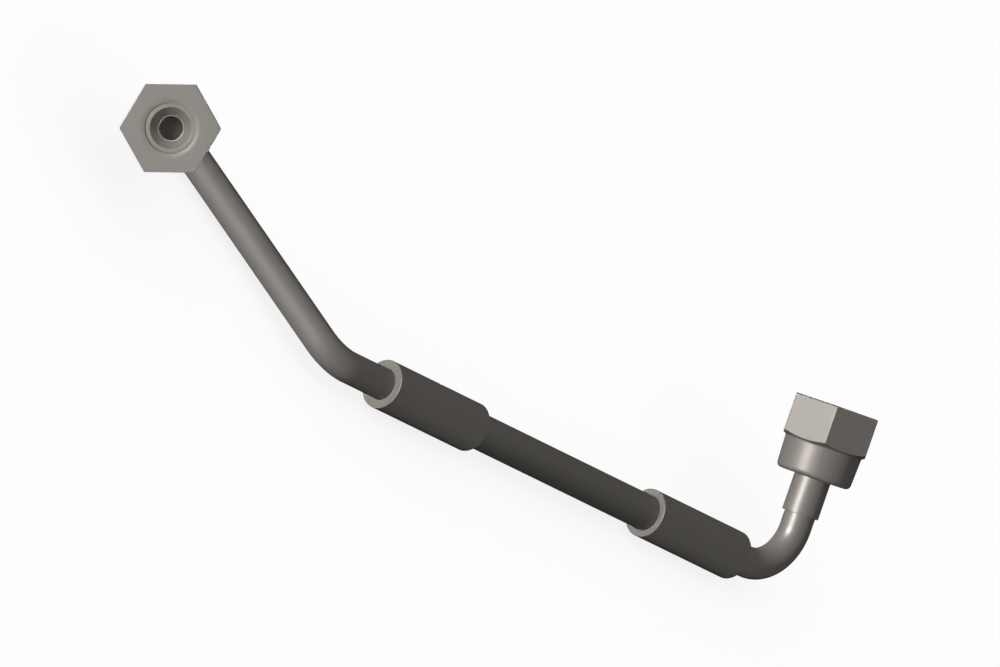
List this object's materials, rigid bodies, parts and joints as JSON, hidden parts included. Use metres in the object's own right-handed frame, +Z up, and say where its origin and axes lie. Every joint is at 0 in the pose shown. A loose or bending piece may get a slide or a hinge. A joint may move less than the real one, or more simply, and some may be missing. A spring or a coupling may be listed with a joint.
{
  "type": "vent tube",
  "caption": "Vent tube: a short straight hose crimped between two bent steel tube ends, each with a cone-seat nipple and a captive hexagon swivel nut.",
  "frame": {"origin": "middle of the footprint on the surface the part lies on", "axes": "+X along the hose, from the double-bent tube towards the single-bent tube; +Z up, as the part lies at rest"},
  "size_m": [0.211, 0.0479, 0.0369],
  "materials": {
    "hose_cover": "smooth grey cover, satin",
    "ferrule_steel": "turned and crimped, satin",
    "stem_steel": "turned",
    "tube_steel": "drawn tube, satin",
    "nipple_steel": "turned, satin",
    "nut_steel": "turned from hexagon bar, satin"
  },
  "bodies": {
    "tube_assembly": {"hose": "hose_cover", "ferrule_a": "ferrule_steel", "ferrule_b": "ferrule_steel", "barbed_stem_a": "stem_steel", "barbed_stem_b": "stem_steel", "double_bent_tube": "tube_steel", "single_bent_tube": "tube_steel", "nipple_a": "nipple_steel", "nipple_b": "nipple_steel"},
    "nut_a": {"swivel_nut_a": "nut_steel"},
    "nut_b": {"swivel_nut_b": "nut_steel"}
  },
  "joints": [
    {"name": "nut_a_swivel", "type": "hinge", "parent": "tube_assembly", "child": "nut_a", "pos_m": [-0.08862, 0.01366, 0.01171], "axis": [-0.7158, -0.536, 0.4476], "continuous": true},
    {"name": "nut_b_swivel", "type": "hinge", "parent": "tube_assembly", "child": "nut_b", "pos_m": [0.09681, -0.00418, 0.0195], "axis": [-0.0958, 0.7104, 0.6973], "continuous": true}
  ]
}
